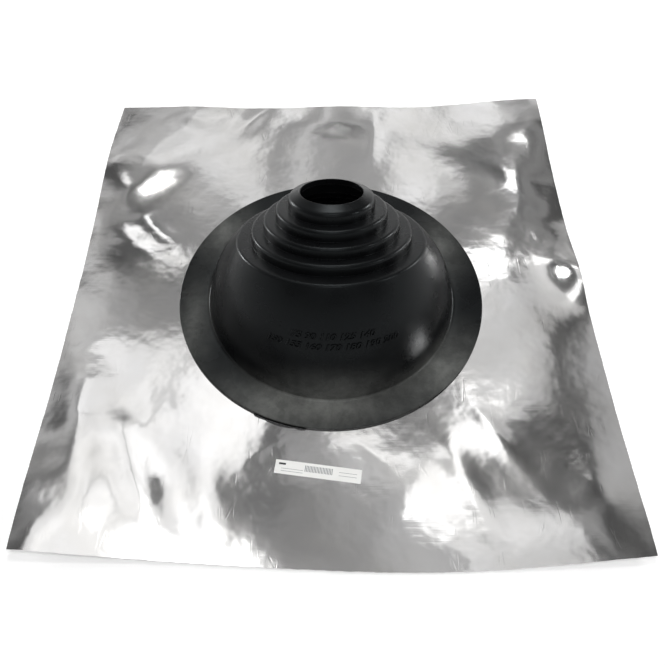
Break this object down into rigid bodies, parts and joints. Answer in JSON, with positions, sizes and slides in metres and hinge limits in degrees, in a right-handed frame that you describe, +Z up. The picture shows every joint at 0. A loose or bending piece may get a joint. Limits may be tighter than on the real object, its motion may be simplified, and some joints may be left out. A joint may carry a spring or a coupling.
{
  "type": "pipe flashing boot",
  "caption": "Stepped rubber boot, leaning back, with a round brim glued over a hole in a soft aluminium sheet; it seals a roof round a pipe.",
  "frame": {"origin": "middle of the sheet's bounding box, at the level of its flat underside", "axes": "+Z up out of the roof, +Y towards the upslope edge, which the rings lean to, +X to the right seen from the downslope edge"},
  "size_m": [0.6, 0.66, 0.1548],
  "materials": {
    "black_rubber": "moulded satin",
    "soft_aluminium": "bright rolled",
    "adhesive": "dull",
    "label": "matte paper"
  },
  "bodies": {
    "root": {"rubber_boot": "black_rubber", "flashing_sheet": "soft_aluminium", "bonding_adhesive": "adhesive", "paper_label": "label"}
  },
  "joints": []
}
